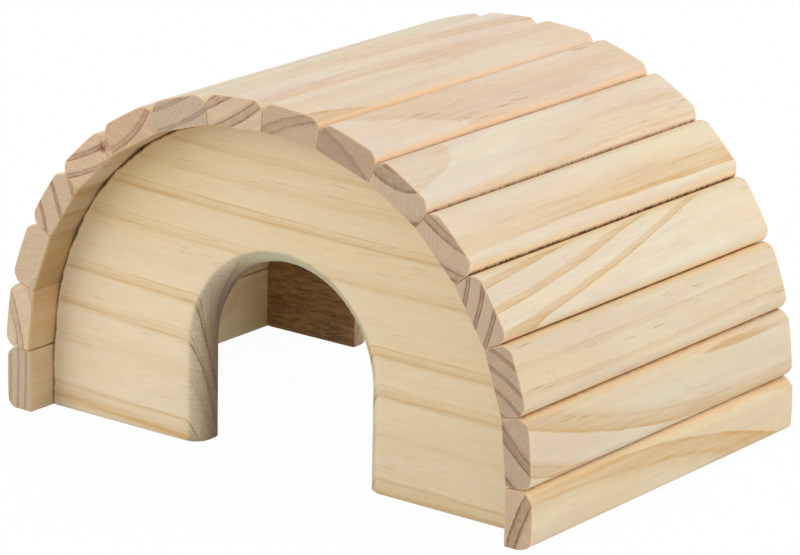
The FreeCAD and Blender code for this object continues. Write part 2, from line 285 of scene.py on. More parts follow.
class StageLight(bpy.types.PropertyGroup):
    floor_colour: wood_colour("Floor", "The floor's own colour", (0.9, 0.9, 0.9))
    sky: FloatProperty(name="Sky", description="Even light from all round", default=0.62)
    overhead: watts("Overhead", "Power of the lamp above", 1.2)
    front: watts("Front", "Power of the lamp in front, to the left", 6.4)
    right: watts("Right", "Power of the lamp on the right", 3.4)
    behind: watts("Behind", "Power of the lamp behind", 6.0)
    shadow: FloatProperty(name="Shadow", description="How much of a shadow the floor shows",
                          default=0.03, subtype="FACTOR")


# ---------------- shader sums

def overload(operation):
    """An operator of the class below, and its reflected form."""
    return (lambda self, *others: self.math(operation, self, *others),
            lambda self, other: self.math(operation, other, self))


class Sum:
    """A socket of a material. Sums and products of it add Math nodes."""

    def __init__(self, bench, socket):
        self.bench = bench
        self.socket = socket

    def math(self, operation, *values):
        return self.bench.node("ShaderNodeMath", {"operation": operation}, dict(enumerate(values)))

    __add__ = __radd__ = overload("ADD")[0]
    __mul__ = __rmul__ = overload("MULTIPLY")[0]
    __sub__, __rsub__ = overload("SUBTRACT")
    __truediv__, __rtruediv__ = overload("DIVIDE")
    __pow__, __rpow__ = overload("POWER")
    __gt__, __lt__ = overload("GREATER_THAN")
    __abs__ = overload("ABSOLUTE")[0]
    floor = overload("FLOOR")[0]


class Bench:
    """Adds nodes to one material or world."""

    def __init__(self, holder):
        holder.use_nodes = True
        self.tree = holder.node_tree
        self.tree.nodes.clear()

    def node(self, kind, settings=None, values=None, out=0):
        """Add a node: its settings first, then its sockets, by name or number."""
        node = self.tree.nodes.new(kind)
        for key, value in (settings or {}).items():
            setattr(node, key, value)
        for key, value in (values or {}).items():
            if isinstance(value, Sum):
                self.tree.links.new(value.socket, node.inputs[key])
            else:
                node.inputs[key].default_value = value
        return Sum(self, node.outputs[out]) if len(node.outputs) else node

    def mix(self, factor, first, second):
        """Mix two colours; 6 and 7 are the colour sockets, and 2 the colour result."""
        first, second = [colour if isinstance(colour, Sum) else rgba(colour)
                         for colour in (first, second)]
        return self.node("ShaderNodeMix", {"data_type": "RGBA"}, {0: factor, 6: first, 7: second},
                         out=2)

    def vector(self, x, y, z):
        return self.node("ShaderNodeCombineXYZ", None, {0: x, 1: y, 2: z})

    def vector_math(self, operation, values, out=0):
        return self.node("ShaderNodeVectorMath", {"operation": operation}, values, out)

    def axes(self, vector):
        return [self.node("ShaderNodeSeparateXYZ", None, {0: vector}, out=axis) for axis in range(3)]

    def stored(self, name, out="Vector"):
        return self.node("ShaderNodeAttribute", {"attribute_name": name}, out=out)

    def noise(self, vector, detail=2.0, roughness=0.5):
        """Smooth noise from 0 to 1 round a half, one lump to each unit."""
        values = {"Vector": vector, "Scale": 1.0, "Detail": detail, "Roughness": roughness}
        return self.node("ShaderNodeTexNoise", {"noise_dimensions": "3D"}, values)

    def chance(self, value):
        """A number from 0 to 1 that is another for each whole value."""
        return self.node("ShaderNodeTexWhiteNoise", {"noise_dimensions": "1D"}, {"W": value})

    def ramp(self, value, start, end, low=0.0, high=1.0):
        """Rise smoothly from low to high as the value goes from start to end."""
        values = {0: value, 1: start, 2: end, 3: low, 4: high}
        return self.node("ShaderNodeMapRange", {"interpolation_type": "SMOOTHSTEP"}, values)


def rgba(colour):
    return (*colour, 1.0)


# ---------------- wood

# What sets one kind of board apart: the axis its grain runs along, how unevenly its rings are
# spaced, how softly a ring's dark band ends, the weight of that band and of the thin lines in it,
# its side-grain colours and its latewood colour.
Timber = namedtuple("Timber", "grain wander soft band line early late")


class WoodBench(Bench):
    """Adds nodes to a material whose pieces store their place in the wood."""

    def __init__(self, holder):
        super().__init__(holder)
        self.fibre = self.axes(self.stored("fibre"))

    def stretched(self, crosswise, lengthwise, shift=None):
        """The place in the wood, times one number across the grain and another along it."""
        across, through, along = self.fibre
        x = across * crosswise
        return self.vector(x if shift is None else x + shift, through * crosswise, along * lengthwise)

    def grain(self, crosswise, lengthwise, detail, roughness=0.5, shift=None):
        """Noise with so many lumps to a millimetre across the grain and along it."""
        return self.noise(self.stretched(crosswise, lengthwise, shift), detail, roughness)

    def flecks(self, vector, size, rarity):
        """Small sharp spots scattered in the cells of a vector."""
        values = {"Vector": vector, "Scale": 1.0}
        distance, colour = [self.node("ShaderNodeTexVoronoi", {"feature": "F1"}, values, out)
                            for out in ("Distance", "Color")]
        lucky = self.axes(colour)[0] > rarity
        return self.ramp(distance, size * 0.4, size, 1.0, 0.0) * lucky


def ring_pattern(bench, timber):
    """The rings of a log as three layers from 0 to 1: the dark band, its outer and inner line."""
    ramp = bench.ramp
    x, y = bench.axes(bench.stored("growth"))[:2]
    start, share, last = bench.axes(bench.stored("board"))
    radius = (x * x + y * y) ** 0.5
    slow = bench.grain(0.07, 0.014, 1.0) - 0.5
    quick = bench.grain(0.7, 0.05, 3.0) - 0.5
    uneven = bench.noise(bench.vector(radius * 0.8, 0.0, 0.0), 1.0) - 0.5
    years = radius - start + slow * 0.16 + quick * 0.07 + uneven * timber.wander
    year = years.floor()
    phase = years - year

    # each ring's luck, which its dark share makes another in each board
    luck = bench.chance(year + share * 100)
    other_luck = bench.chance(year + share * 100 + 0.5)
    third_luck = bench.chance(year + share * 100 + 0.25)
    inside = (phase - 1 + share) / share
    band = ramp(inside, 0.0, 0.4) * (0.55 + ramp(inside, 0.2, 1.0) * 0.45)
    band = band * (1 - ramp(phase, 1 - timber.soft, 1.0)) * (1 - third_luck * timber.wander)
    outer = ramp(inside, 0.8, 0.93) * (0.4 + luck * 0.6) * ramp(phase, 0.975, 1.0, 1.0, 0.0)
    inner = ramp(abs(inside - 0.4), 0.0, 0.11, 1.0, 0.0) * (0.35 + other_luck * 0.65)
    reach = bench.grain(0.1, 0.011, 1.0)
    strength = ramp(year - last, 0.1, 0.9, 1.0, 0.0)
    fading = ramp(reach, 0.3, 0.6, 0.45, 1.0)
    return band * strength, outer * strength * fading, inner * strength * fading


def wood_material(name, timber, colours):
    """Bare sanded pine, with side grain and end grain."""
    material = bpy.data.materials.new(name)
    bench = WoodBench(material)
    mix, ramp, grain, flecks = bench.mix, bench.ramp, bench.grain, bench.flecks
    across, through, along = bench.fibre
    face_light, end_light, red = bench.axes(bench.stored("tone"))
    worn, groove, grime = bench.axes(bench.stored("wear"))
    stain = bench.axes(bench.stored("growth"))[2]
    marks, yellow, side_yellow_and_warm_shade = bench.axes(bench.stored("cut"))
    band, outer, inner = ring_pattern(bench, timber)
    figure, end_figure, dashed = bench.axes(bench.stored("show"))

    # side grain: broad clouds of colour, then latewood and dark streaks
    cloud = grain(0.16, 0.016, 2.0)
    other = grain(0.13, 0.012, 2.0, shift=40)
    side = mix(ramp(cloud, 0.4, 0.6), timber.early[0], timber.early[1])
    side = mix(ramp(other, 0.47, 0.64) * 0.7, side, timber.early[2])
    silk = grain(2.8, 0.16, 5.0, 0.7)
    strand = grain(1.1, 0.03, 3.0, 0.6)
    blotch = grain(0.4, 0.12, 3.0)
    latewood = (band * timber.band + (outer + inner * 0.7) * timber.line) * figure
    latewood = latewood * ramp(strand, 0.3, 0.65, 0.6, 1.1) + ramp(strand, 0.5, 0.75) * 0.14
    side = mix(latewood, side, timber.late)
    shade = 0.86 + silk * 0.2 + blotch * 0.08

    # fine flecks everywhere, and resin ducts in some stretches
    wobble = grain(0.5, 0.5, 2.0) * 1.4
    thin = flecks(bench.stretched(1.6, 0.12, wobble), 0.3, 0.72)
    ducts = flecks(bench.stretched(1.9, 0.06, wobble), 0.34, 0.66)
    ducts = ducts * ramp(grain(0.14, 0.03, 1.0), 0.48, 0.6) * dashed
    side = mix(thin * 0.28, side, timber.late)
    side = mix(ducts * 0.6, side, colours.fleck)

    # grooves: painted warm light on the edges, then painted shade mixed with dust, then dark painted
    # shade as cracks at the bottom
    # painted warm light on the grooves' edges, in the sanded edges' colour
    painted_groove_light = ramp(groove, 0.0, 0.35) * ramp(other, 0.4, 0.6, 0.35, 0.85)
    side = mix(painted_groove_light, side, colours.edge)
    dust_and_shade = ramp(grain(0.3, 0.4, 4.0, 0.6), 0.35, 0.65, 0.5, 0.95) * (0.3 + grime * 0.7)
    side = mix(ramp(groove, 0.5, 0.85) * dust_and_shade, side, colours.groove)
    speck = ramp(grain(0.3, 0.9, 3.0, 0.6), 0.46, 0.56)
    side = mix(ramp(groove, 0.62, 0.8) * speck * grime, side, colours.crack_shade)

    # end grain: rings with dark lines, pores, saw marks
    grit = grain(2.6, 0.05, 4.0, 0.75)
    patchy = ramp(blotch, 0.4, 0.62)
    late = mix(patchy, colours.end_late, colours.end_red)
    end_line = (outer + inner) * ramp(grit, 0.3, 0.6, 0.4, 1.1) * 0.75
    end_ring = band * (0.43 + patchy * 0.28) * timber.band + end_line
    end = mix(end_ring * end_figure, colours.end_early, late)
    pores = flecks(bench.stretched(2.0, 0.1), 0.32, 0.7)
    end = mix(pores * 0.4, end, colours.end_late)
    saw = (across + through * marks) * 2.4, (through - across * marks) * 0.1, along * 0.02
    teeth = bench.noise(bench.vector(*saw), 2.0, 0.6)
    end_shade = 0.44 + grit * 0.6 + teeth * 0.42 + blotch * 0.1

    # how far this face is an end
    normal = bench.axes(bench.node("ShaderNodeNewGeometry", out="Normal"))
    endness = ramp(abs(normal[timber.grain]), 0.15, 0.5)

    # the two together, with stains, painted light and shade, tint and worn edges
    colour = mix(endness, side, end)
    mottle = ramp(grain(1.3, 0.2, 5.0, 0.75), 0.36, 0.64)
    colour = mix(mottle * stain * 0.75, colour, colours.stain)
    light = (shade * face_light) * (1 - endness) + (end_shade * end_light) * endness
    colour = bench.vector_math("SCALE", {0: colour, "Scale": light})
    # the side's yellow is partly painted warm shade, in the recesses and the back panel's inside
    yellow = yellow * (1 - endness) + side_yellow_and_warm_shade
    warm = bench.vector(1 + red * 0.03, 1 - red * 0.015, 1 - red * 0.05 - yellow * 0.05)
    colour = bench.vector_math("MULTIPLY", {0: colour, 1: warm})
    colour = mix(worn * 0.5, colour, colours.edge)

    # the knot: a dark heart and fading rays
    to_knot = bench.stored("knot")
    ray = bench.noise(bench.vector_math("NORMALIZE", {0: to_knot}), 3.0)
    far = bench.vector_math("LENGTH", {0: to_knot}, out="Value")
    knot = ramp(far + (grit - 0.5) * 2.5, 0.6, 1.5, 1.0, 0.0)
    knot = knot + ramp(ray, 0.48, 0.6) * ramp(far, 0.8, 5.0, 0.5, 0.0)
    colour = mix(knot * 0.85, colour, colours.knot)

    relief = (silk * 0.5 + strand * 0.2 - ducts * 0.6) * (1 - endness)
    relief = relief + (grit * 0.8 + teeth * 0.6 - pores * 0.5) * endness
    bump = bench.node("ShaderNodeBump", None,
                      {"Strength": 0.7, "Distance": 0.00014, "Height": relief})
    rough = 0.5 + silk * 0.14 + endness * 0.18
    shader = bench.node("ShaderNodeBsdfPrincipled", None,
                        {"Base Color": colour, "Roughness": rough, "Normal": bump,
                         "Specular IOR Level": 0.3})
    bench.node("ShaderNodeOutputMaterial", None, {"Surface": shader})
    return material


# ---------------- meshes

# edges of a mesh that turn more than this are sharp
SHARP_TURN = math.radians(50)
# how far apart two pieces lie in the noises, across and through the grain and along it
NEXT_LOT = (61, 37, 311)
# how far a piece may be from its place in the frame: the saw cuts are the most
LOOSE_FIT = 1.5 * MM


def added(name, data):
    """A new object, in the scene."""
    made = bpy.data.objects.new(name, data)
    bpy.context.scene.collection.objects.link(made)
    return made


def loft(name, rings):
    """A closed mesh through rings of points that have one length, capped at both ends."""
    build = bmesh.new()
    rows = [[build.verts.new(point) for point in ring] for ring in rings]
    count = len(rings[0])
    for row, following in zip(rows, rows[1:]):
        for i in range(count):
            j = (i + 1) % count
            build.faces.new((row[i], row[j], following[j], following[i]))
    build.faces.new(rows[0][::-1])
    build.faces.new(rows[-1])
    bmesh.ops.recalc_face_normals(build, faces=build.faces)
    mesh = bpy.data.meshes.new(name)
    build.to_mesh(mesh)
    build.free()
    for polygon in mesh.polygons:
        polygon.use_smooth = True
    mesh.set_sharp_from_angle(angle=SHARP_TURN)
    return added(name, mesh)


def store(piece, name, values):
    """Keep three numbers for each vertex of a piece."""
    layer = piece.data.attributes.new(name, "FLOAT_VECTOR", "POINT")
    layer.data.foreach_set("vector", [number for value in values for number in value])


def cut_from(piece, log, places, lot, wear, sides, marks=0.3, bands=None, knot=NO_KNOT):
    """Say where each vertex lies in its log. Places are (across, through, along, part) in mm, wear
    is (edge, groove, how strongly painted shade and dust darken the groove) and sides says which
    side of the board each vertex is on, with its painted light and shade."""
    start = first_edge(log)
    growth, show, fibre, to_knot = [], [], [], []
    near, far, ends = log.figure
    dashes, far_dashes = log.dashes
    for (across, through, along, part), side in zip(places, sides):
        x, y = place_in_log(log, across, through, part)
        strength = 1.0
        if bands:
            number, strength = band_at(bands, across + DIP * through - pith_shift(log, part)[0])
            x, y = start + number, 0.0
        growth.append((x, y, side.stain))
        show.append(((near + (far - near) * part) * strength, ends * strength,
                     dashes + (far_dashes - dashes) * part))
        fibre.append([place + step * lot
                      for place, step in zip((across, through, along), NEXT_LOT)])
        to_knot.append((across - knot[0], through - knot[1], along))
    store(piece, "growth", growth)
    store(piece, "show", show)
    store(piece, "fibre", fibre)
    store(piece, "board", [(start, log.late, log.last)] * len(places))
    # the tone holds each side's painted light and shade, and its red
    store(piece, "tone",
          [(log.face * side.light, log.end * side.light, log.red + side.red) for side in sides])
    store(piece, "wear", wear)
    store(piece, "cut", [(marks, log.yellow, side.yellow) for side in sides])
    store(piece, "knot", to_knot)


def check_place(piece, node):
    """Stop if a piece stands elsewhere than in the frame."""
    for axis, (low, high) in enumerate(zip(*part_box(node))):
        found = [vertex.co[axis] for vertex in piece.data.vertices]
        if max(abs(min(found) - low), abs(max(found) - high)) > LOOSE_FIT:
            raise RuntimeError("%s stands elsewhere than in the frame" % node)


def show(piece, node, slot, material):
    """Hand a finished piece over to the frame."""
    check_place(piece, node)
    piece.data.materials.append(material)
    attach(piece, "root")
    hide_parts(node)


def quarter(steps):
    """Even angles from 0 to a right angle."""
    return [math.pi / 2 * i / steps for i in range(steps + 1)]


def spread(start, end, steps):
    """Even places from start up to, but without, the end."""
    return [start + (end - start) * i / steps for i in range(steps)]


# ---------------- the arch

# Where a slat sits: its turn from the upright left foot, the middle of its inner face, and how far
# that face reaches towards the slat before and the slat after.
Seat = namedtuple("Seat", "turn x z before after")

# how much nearer to a long edge its bevel starts than its round: on the outer face and on the side
BEVEL_OUT, BEVEL_UP = 0.5 * MM, 0.4 * MM
# an inner corner's own rounding, and the width of the strip beside it that stays flat
INNER_EASE, INNER_STRIP = 0.03 * MM, 0.4 * MM
# how far up from a groove its painted shade, with dust, and its painted warm edge still show
GROOVE_FADE = 3 * MM
# half a slat's width, and its whole width, near enough for shares of it
HALF_WIDTH, WHOLE_WIDTH = 10.5 * MM, 21 * MM
# how many lumps the sanding leaves to a metre: across a slat, through it and along it
SANDING_LUMPS = (90, 140, 28)


def slat_section_sizes(sizes):
    """The slat's section: how far its sides lean, and the centre of its rounded corner."""
    turns = joint_turns(sizes)
    lean = turns[1] / 2
    outer = sizes.inner_width / 2 + sizes.thickness * math.tan(lean)
    corner_x = outer - sizes.corner_radius * math.tan(math.pi / 4 + lean / 2)
    return lean, corner_x, sizes.thickness - sizes.corner_radius


def joint_turns(sizes):
    """The turn of every joint, from the left foot over the crown."""
    shoulder = (math.pi - sizes.crown_turn) / (SLAT_COUNT - 3)
    turns = [shoulder] * (SLAT_COUNT - 1)
    turns[0] = shoulder / 2 + sizes.arch_lean
    turns[-1] = shoulder / 2 - sizes.arch_lean
    turns[SLAT_COUNT // 2 - 1] = sizes.crown_turn
    return turns


def joint_reach(sizes, turn):
    """From the middle of a slat's inner face to its joint, along the face."""
    corner_x, corner_z = slat_section_sizes(sizes)[1:]
    half = turn / 2
    return (corner_x - corner_z * math.tan(half) + sizes.corner_radius / math.cos(half)
            + sizes.gap / 2)


def seats(sizes):
    """Where the slats sit, from the left foot over the crown."""
    half = sizes.inner_width / 2
    turn, x, z = 0.0, 0.0, half - sizes.foot_trim
    chain = [(turn, x, z)]
    for joint in joint_turns(sizes):
        reach = joint_reach(sizes, joint)
        following = turn + joint
        x += reach * (math.sin(turn) + math.sin(following))
        z += reach * (math.cos(turn) + math.cos(following))
        turn = following
        chain.append((turn, x, z))
    span = chain[-1][1]
    found = []
    for number, (turn, x, z) in enumerate(chain, 1):
        before = half - sizes.foot_trim if number == LEFT_FOOT else half
        after = chain[-1][2] if number == RIGHT_FOOT else half
        found.append(Seat(turn, x - span / 2, z, before, after))
    return found


def half_section(sizes, half, flat, foot):
    """One side of a slat's section, from its inner corner to the middle of its outer face, as
    (u, h, groove). foot is how far down a foot slat's lower edge is rounded, or nothing."""
    lean, corner_x, corner_z = slat_section_sizes(sizes)
    thick = sizes.thickness
    if foot:
        lean, corner_x = 0.0, half - sizes.foot_corner_width
        side_top = thick - foot
    else:
        corner_x += BEVEL_OUT * flat
        side_top = corner_z - sizes.corner_radius * math.sin(lean) + BEVEL_UP * flat
    slope = math.tan(lean)
    ease = INNER_EASE
    points = [(half - INNER_STRIP, 0.0, 0), (half - ease, 0.0, 0),
              (half - ease * 0.3, ease * 0.3, 0), (half + ease * slope, ease, 0)]
    # the groove's painted light and shade fade out towards the inner face
    points += [(half + height * slope, height, clamp(height * 3 / thick))
               for height in spread(ease, side_top, 4)[1:]]
    # the long edge is a conic: a low weight of its sharp corner makes it a bevel
    weight = 0.66 - 0.5 * flat
    ends = Vector((half + side_top * slope, side_top)), Vector((corner_x, thick))
    sharp = Vector((half + thick * slope, thick))
    for t in (*spread(0.0, 1.0, 10), 1.0):
        parts = (1 - t) ** 2, 2 * weight * t * (1 - t), t ** 2
        point = (parts[0] * ends[0] + parts[1] * sharp + parts[2] * ends[1]) / sum(parts)
        points.append((point.x, point.y, clamp(1 - (point.y - side_top) / GROOVE_FADE)))
    points += [(u, thick, 0) for u in spread(corner_x, 0.0, 7)[1:]]
    return [(u, h - sizes.crowning * min(1, u / corner_x) ** 2 * h / thick, 0 if foot else groove)
            for u, h, groove in points]


def slat_section(sizes, seat, cut, number):
    """A slat's whole section as (u, h, groove): u towards the next slat, h out from the inner
    face."""
    left = sizes.foot_corner_height if number == LEFT_FOOT else None
    right = sizes.right_foot_corner_height if number == RIGHT_FOOT else None
    before = half_section(sizes, seat.before, cut.flat_before, left)
    after = half_section(sizes, seat.after, cut.flat_after, right)
    outline = [(-u, h, groove) for u, h, groove in before] + [(0.0, sizes.thickness, 0)] + after[::-1]
    inner = spread(after[0][0], -before[0][0], 8)[1:]
    return outline + [(u, 0.0, 0) for u in inner]


def shrunk(section, inset, thickness):
    """The section drawn in by an inset, round the middle of its thickness."""
    middle = thickness / 2
    return [(u * (1 - inset / HALF_WIDTH), middle + (h - middle) * (1 - inset / middle), groove)
            for u, h, groove in section]


def length_stations(length, easing):
    """Places along a slat as (distance from the front, inset, wear of the edge)."""
    plain = 4 * MM
    caps = [(0.0, easing + 1.4 * MM, 0.0), (0.0, easing + 0.1 * MM, 0.0)]
    rounding = [(easing * (1 - math.cos(a)), easing * (1 - math.sin(a)), math.sin(a) ** 0.5)
                for a in quarter(4)]
    after = [(easing + 0.3 * MM, 0.0, 0.4), (easing + 1.2 * MM, 0.0, 0.0)]
    front = caps + rounding + after
    back = [(length - y, inset, wear) for y, inset, wear in reversed(front)]
    middle = [(y, 0.0, 0.0) for y in spread(plain, length - plain, 46)]
    return front + middle + [(length - plain, 0.0, 0.0)] + back


def panel_depth():
    """How far the panels' outer faces lie behind the slats' ends, in millimetres."""
    return (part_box("front_panel")[0].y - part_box(SLATS[0])[0].y) / MM


def make_slat(number, sizes, material):
    node = SLATS[number - 1]
    seat, log, cut = seats(sizes)[number - 1], SLAT_LOGS[number - 1], SLAT_CUTS[number - 1]
    grime_and_shade_after = SLAT_CUTS[min(number, SLAT_COUNT - 1)].grime
    section = slat_section(sizes, seat, cut, number)
    low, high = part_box(node)
    length = high.y - low.y
    toward = Vector((math.sin(seat.turn), 0, math.cos(seat.turn)))
    outward = Vector((-math.cos(seat.turn), 0, math.sin(seat.turn)))
    middle = Vector((seat.x, 0, seat.z))
    lumps_u, lumps_h, lumps_y = SANDING_LUMPS

    rings, places, wear = [], [], []
    for distance, inset, edge in length_stations(length, sizes.easing):
        ring = []
        part = distance / length
        for u, h, groove in shrunk(section, inset, sizes.thickness):
            # the sander's dips, but not on the inner face
            lump = noise.noise(Vector((u * lumps_u, h * lumps_h + 7 * number, distance * lumps_y)))
            dip = sizes.sanding * (0.5 + 0.5 * lump) * min(1, h / (0.3 * sizes.thickness))
            u, h, groove = shrunk([(u, h, groove)], dip, sizes.thickness)[0]
            # the saw cuts, a little out of square
            side = clamp(0.5 + u / WHOLE_WIDTH)
            front = (cut.front_before * (1 - side) + cut.front_after * side) * MM
            back = (cut.back_before * (1 - side) + cut.back_after * side) * MM
            y = low.y + front + part * (length - front - back)
            ring.append(middle + toward * u + outward * h + Vector((0, y, 0)))
            places.append((u / MM, h / MM, (y - low.y) / MM, (y - low.y) / length))
            wear.append((edge, groove, cut.grime if u < 0 else grime_and_shade_after))
        rings.append(ring)
    piece = loft("pine_slat_%02d" % number, rings)
    # the inner face turns from painted shade to painted light behind the panel, out of sight
    overhang_ends = panel_depth() + 3
    overhang_shade = OVERHANG_SHADES[min(number, len(OVERHANG_SHADES)) - 1]
    sides = [OUTSIDE if through > 0.2 else overhang_shade if along < overhang_ends else NEST_LIGHT
             for across, through, along, part in places]
    cut_from(piece, log, places, number, wear, sides, cut.marks,
             knot=KNOT if number == KNOTTY_SLAT else NO_KNOT)
    show(piece, node, "slat_pine", material)
    return piece


# ---------------- the end panels

# What makes one end panel: its mesh's name, its node, its log, its lot in the noises, its bands,
# and where its outer face looks: -1 to the front and 1 to the back.
Board = namedtuple("Board", "name node log lot bands facing")
FRONT_BOARD = Board("pine_front_panel", "front_panel", FRONT_PANEL_LOG, 21, FRONT_BANDS, -1)
BACK_BOARD = Board("pine_back_panel", "back_panel", BACK_PANEL_LOG, 22, None, 1)

# a rim starts under the floor, so that the lowest rays meet it
RIM_STARTS = -1 * MM
# the rays over a doorway: how far apart up its jambs, and how many steps round its arch
JAMB_STEP, ARCH_STEPS = 1.4 * MM, 120
# how much painted shade, with dust, darkens the chips of a rim, and how many large and small
# lumps chip a metre of it
RIM_GRIME_AND_SHADE = 0.7
CHIP_LUMPS = 310, 900
# The front doorway's edge gets painted shade from this height on, darkening over so many
# millimetres, by this much for each of them.
ARCH_STARTS, ARCH_DARKENS, ARCH_SHADE = 35, 15, 0.017


def rim_line(slats, panel):
    """The panel's rim from its left foot to its right foot, as (x, z) points close together."""
    chain = seats(slats)
    touch = [Vector((seat.x + panel.glue_gap * math.cos(seat.turn),
                     seat.z - panel.glue_gap * math.sin(seat.turn))) for seat in chain]
    points = [Vector((touch[0].x, RIM_STARTS))]
    for i, joint in enumerate(joint_turns(slats)):
        radius = joint_reach(slats, joint) / math.tan(joint / 2) - panel.glue_gap
        start, end = chain[i].turn, chain[i + 1].turn
        centre = touch[i] - radius * Vector((-math.cos(start), math.sin(start)))
        points += [centre + radius * Vector((-math.cos(turn), math.sin(turn)))
                   for turn in spread(start, end, 12)]
    return points + [touch[-1], Vector((touch[-1].x, RIM_STARTS))]


def meet(line, start, direction):
    """Where a ray from start first meets a line of points."""
    across = Vector((-direction.y, direction.x))
    for first, second in zip(line, line[1:]):
        a, b = (first - start).dot(across), (second - start).dot(across)
        if (a <= 0) != (b <= 0):
            point = first.lerp(second, a / (a - b))
            if (point - start).dot(direction) > 0:
                return point
    raise RuntimeError("a ray from the doorway misses the rim")


def panel_rays(radius, jamb):
    """Rays over the doorway from left to right, as (point on the doorway, direction)."""
    left, right = Vector((-1, 0)), Vector((1, 0))
    heights = spread(0.4 * MM, jamb, max(4, round(jamb / JAMB_STEP)))
    rays = [(Vector((-radius, z)), left) for z in heights]
    for i in range(ARCH_STEPS + 1):
        angle = math.pi * (1 - i / ARCH_STEPS)
        way = Vector((math.cos(angle), math.sin(angle)))
        rays.append((Vector((0, jamb)) + radius * way, way))
    return rays + [(Vector((radius, z)), right) for z in reversed(heights)]


def panel_section(panel, width, chip):
    """A panel's section on one ray as (distance from the doorway, depth, groove). Its edges get a
    groove's painted warm light and painted shade, with dust, most at the rim's outer edge."""
    thick, over, ease = panel.thickness, panel.round_over, panel.easing
    rim = width - chip
    round_ease = [(ease * (1 - math.cos(a)), ease * (1 - math.sin(a))) for a in quarter(2)]
    points = [(0.0, depth, 0.0) for depth in spread(thick - ease, over, 3)]
    points += [(over * (1 - math.cos(a)), over * (1 - math.sin(a)), 0.0) for a in quarter(9)]
    points += [(s, 0.0, 0.0) for s in spread(over, rim - 2.2 * MM, 14)[1:]]
    points += [(rim - 2.2 * MM, 0.0, 0.0), (rim - MM, 0.0, 0.15)]
    points += [(rim - ease * (1 - math.sin(a)), ease * (1 - math.cos(a)), 1.0) for a in quarter(3)]
    points += [(width - chip * 0.3, 1.2 * MM, 0.5), (width, 3 * MM, 0.0)]
    points += [(width, depth, 0.0) for depth in spread(3 * MM, thick - ease, 4)[1:]]
    points += [(width - inward, thick - back, 0.5) for inward, back in round_ease]
    points += [(s, thick, 0.0) for s in spread(width - ease, ease, 14)[1:]]
    points += [(back, thick - inward, 0.5) for inward, back in round_ease][:-1]
    return points


def chip_depth(panel, point, lot):
    """How deep the rim is chipped at one of its points."""
    large, small = CHIP_LUMPS
    lump = noise.noise(Vector((point.x * large, point.y * large, lot * 9))) \
        + 0.6 * noise.noise(Vector((point.x * small, point.y * small, lot * 5)))
    return panel.chipping * clamp(0.3 + lump * 1.3)


def panel_rows(board, radius, jamb, slats, panel, floor):
    """The panel's sections, ray after ray, as rows of (x, depth, z, groove)."""
    line = rim_line(slats, panel)
    rows = []
    for start, way in panel_rays(radius, jamb):
        edge = meet(line, start, way)
        section = panel_section(panel, (edge - start).length, chip_depth(panel, edge, board.lot))
        places = [start + way * s for s, depth, groove in section]
        rows.append([(place.x, depth, place.y, groove)
                     for place, (s, depth, groove) in zip(places, section)])

    def foot(row, inset, groove):
        """The same section on the floor, drawn in by an inset."""
        xs = [point[0] for point in row]
        centre, half = (min(xs) + max(xs)) / 2, (max(xs) - min(xs)) / 2
        deep = panel.thickness / 2
        return [(centre + (x - centre) * (1 - inset / half),
                 deep + (depth - deep) * (1 - inset / deep), floor, groove)
                for x, depth, z, dirt in row]

    left, right = [[foot(row, MM, 0.0), foot(row, 0.4 * MM, 0.2)] for row in (rows[0], rows[-1])]
    return left + rows + right[::-1]


def panel_side(board, panel, across, through, part):
    """The painted light and shade, and the tint, of a panel at one place."""
    if board.facing > 0 and through > panel.thickness / MM - 0.2:
        return BACK_INSIDE_SHADE_AND_STAIN
    if through > 0.3:
        # painted shade, deepening from a doorway's outer edge into its jambs
        shallow, deep = (ROUND_OVER, DOOR_JAMB_SHADE) if board.facing < 0 else (BACK_OUTSIDE, BACK_JAMB_SHADE)
        depth = clamp(through / (panel.round_over / MM) - 0.35)
        light, *tints = (a + (b - a) * depth for a, b in zip(shallow, deep))
        if board.facing < 0:
            # painted shade: darker round the arch than down the jambs
            light *= 1 - ARCH_SHADE * min(ARCH_DARKENS, max(0, across - ARCH_STARTS))
        return Side(light, *tints)
    if board.facing > 0:
        return BACK_OUTSIDE
    # painted shade: the front darkens upwards, and most in the upper left; it also yellows upwards
    corner = max(0, across - 50) * max(0, 0.4 - part) * 0.16
    light = 1.12 - 0.135 * part - 0.0012 * max(0, across - 40) - 0.11 * corner
    red = 0.4 * part + 0.016 * across - 0.7 + corner
    yellow = 1.2 * part + 0.008 * across - 1.2 + 2.3 * corner
    return Side(light, red, yellow)


def make_panel(board, radius, jamb, slats, panel, material):
    """An end panel, round a doorway of this radius on jambs of this height."""
    low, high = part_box(board.node)
    face = low.y if board.facing < 0 else high.y
    rows = panel_rows(board, radius, jamb, slats, panel, low.z)
    piece = loft(board.name, [[Vector((x, face - board.facing * depth, z))
                               for x, depth, z, groove in row] for row in rows])
    points = [point for row in rows for point in row]
    places = [(z / MM, depth / MM, x / MM, (x - low.x) / (high.x - low.x))
              for x, depth, z, groove in points]
    wear = [(0.0, groove, RIM_GRIME_AND_SHADE) for x, depth, z, groove in points]
    sides = [panel_side(board, panel, across, through, part)
             for across, through, along, part in places]
    cut_from(piece, board.log, places, board.lot, wear, sides, bands=board.bands)
    show(piece, board.node, "panel_pine", material)
    return piece


# ---------------- operators

class HIDEOUT_OT_slats(bpy.types.Operator):
    """Build the sixteen roof slats"""
    bl_idname = "hideout.slats"
    bl_label = "Roof slats"

    def execute(self, context):
        colours = context.scene.hideout_wood
        timber = Timber(ALONG_Y, 0.0, 0.03, 0.7, 0.5, (colours.cream, colours.pink, colours.straw),
                        colours.slat_late)
        material = wood_material("moulded_pine", timber, colours)
        for number in range(1, SLAT_COUNT + 1):
            make_slat(number, context.scene.hideout_slats, material)
        return {"FINISHED"}


